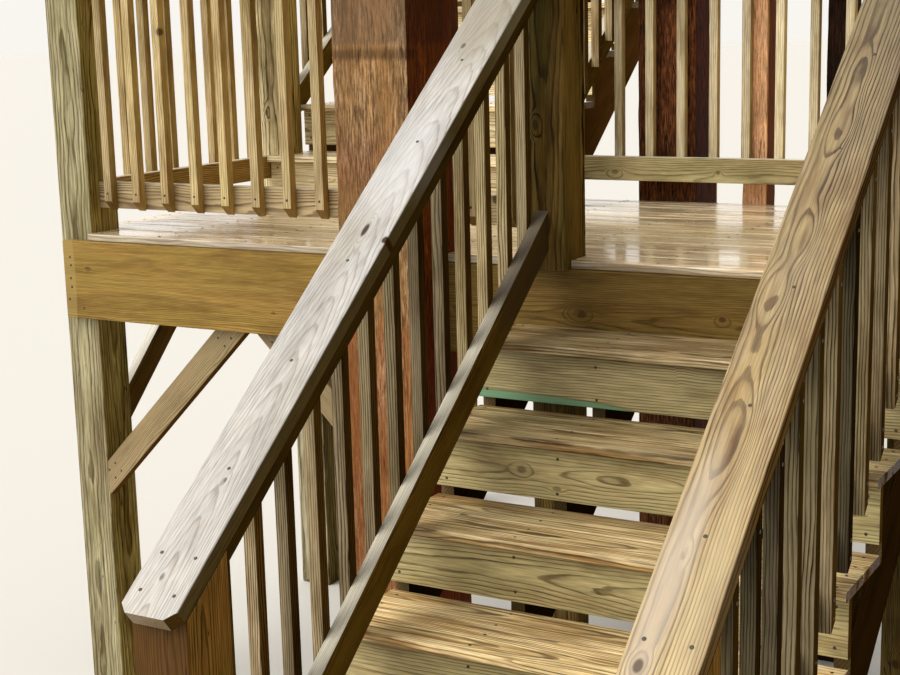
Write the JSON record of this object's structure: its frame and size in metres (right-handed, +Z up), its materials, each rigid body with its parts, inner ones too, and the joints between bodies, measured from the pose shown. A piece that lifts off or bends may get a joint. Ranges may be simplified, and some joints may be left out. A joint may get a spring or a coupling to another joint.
{
  "type": "wooden deck stairs",
  "caption": "Wooden stairs in treated pine: a lower flight up to a railed landing on posts, and an upper flight going on from its far left side.",
  "frame": {"origin": "middle of the footprint box at ground level", "axes": "+X across the flights, to the right of someone going up, +Y up the run, +Z up"},
  "size_m": [2.995, 4.748, 4.011],
  "materials": {
    "tread_wood": "wet treated pine, plain sawn",
    "riser_wood": "treated pine",
    "frame_wood": "treated pine, shaded",
    "rim_wood": "damp treated pine",
    "brace_wood": "treated pine",
    "post_wood": "treated pine, olive",
    "bleached_cap": "bleached treated pine",
    "tan_cap": "treated pine, warm tan",
    "rail_wood": "treated pine",
    "baluster_wood": "treated pine",
    "deck_wood": "wet treated pine",
    "timber_brown": "rough-sawn stained timber",
    "timber_dark": "rough-sawn dark stained timber"
  },
  "bodies": {
    "root": {"lower_treads": "tread_wood", "upper_treads": "tread_wood", "upper_edge_board": "tread_wood", "lower_risers": "riser_wood", "upper_risers": "riser_wood", "lower_stringers": "frame_wood", "back_rim": "frame_wood", "left_rim": "frame_wood", "right_rim": "frame_wood", "joists": "frame_wood", "upper_stringers": "frame_wood", "upper_beams": "frame_wood", "front_rim": "rim_wood", "front_braces": "brace_wood", "side_braces": "brace_wood", "lower_foot_newels": "post_wood", "lower_head_newels": "post_wood", "left_front_post": "post_wood", "back_left_post": "post_wood", "back_right_post": "post_wood", "upper_foot_newels": "post_wood", "upper_head_posts": "post_wood", "lower_left_cap": "bleached_cap", "lower_right_cap": "tan_cap", "guard_caps": "tan_cap", "upper_caps": "tan_cap", "lower_sub_rails": "rail_wood", "lower_bottom_rails": "rail_wood", "guard_bottom_rails": "rail_wood", "guard_sub_rails": "rail_wood", "upper_sub_rails": "rail_wood", "upper_bottom_rails": "rail_wood", "lower_left_balusters": "baluster_wood", "lower_right_balusters": "baluster_wood", "front_guard_balusters": "baluster_wood", "left_guard_balusters": "baluster_wood", "right_guard_balusters": "baluster_wood", "back_guard_balusters": "baluster_wood", "upper_left_balusters": "baluster_wood", "upper_right_balusters": "baluster_wood", "deck_boards": "deck_wood", "big_front_post": "timber_brown", "back_posts": "timber_dark"}
  },
  "joints": []
}
